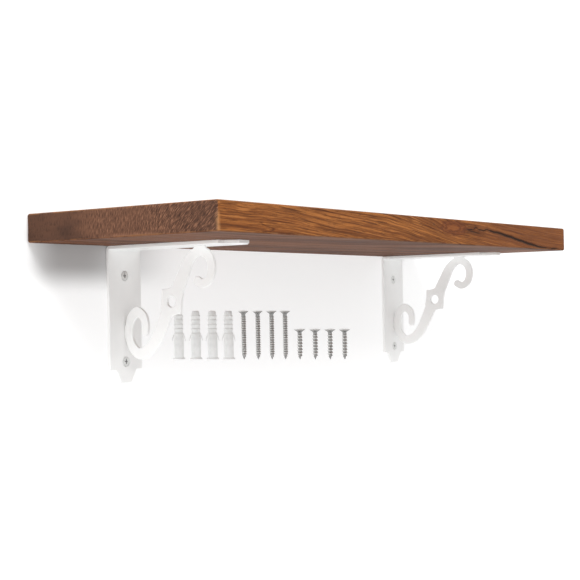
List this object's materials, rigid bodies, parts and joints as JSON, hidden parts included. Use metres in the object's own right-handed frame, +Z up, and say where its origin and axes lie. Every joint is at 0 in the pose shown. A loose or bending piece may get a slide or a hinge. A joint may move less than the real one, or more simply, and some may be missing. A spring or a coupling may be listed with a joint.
{
  "type": "wall shelf",
  "caption": "Solid wood wall shelf on two white L brackets, each with an S-scroll plate, screwed to the board and plugged to the wall.",
  "frame": {"origin": "centre of the board's back face, on the wall plane", "axes": "+X along the board to the right as seen from the room, +Y into the wall, +Z up"},
  "size_m": [0.61, 0.2403, 0.1445],
  "materials": {
    "board_wood": "oiled warm brown, darker end grain, sawn and sanded",
    "bracket_steel": "white satin powder coat",
    "screw_zinc": "bright zinc plate",
    "plug_nylon": "pale grey moulded nylon"
  },
  "bodies": {
    "root": {"shelf_board": "board_wood", "left_bracket_strap": "bracket_steel", "left_bracket_scroll": "bracket_steel", "right_bracket_strap": "bracket_steel", "right_bracket_scroll": "bracket_steel", "left_upper_wall_screw": "screw_zinc", "left_lower_wall_screw": "screw_zinc", "right_upper_wall_screw": "screw_zinc", "right_lower_wall_screw": "screw_zinc", "left_rear_shelf_screw": "screw_zinc", "left_front_shelf_screw": "screw_zinc", "right_rear_shelf_screw": "screw_zinc", "right_front_shelf_screw": "screw_zinc", "left_upper_wall_plug": "plug_nylon", "left_lower_wall_plug": "plug_nylon", "right_upper_wall_plug": "plug_nylon", "right_lower_wall_plug": "plug_nylon"}
  },
  "joints": []
}
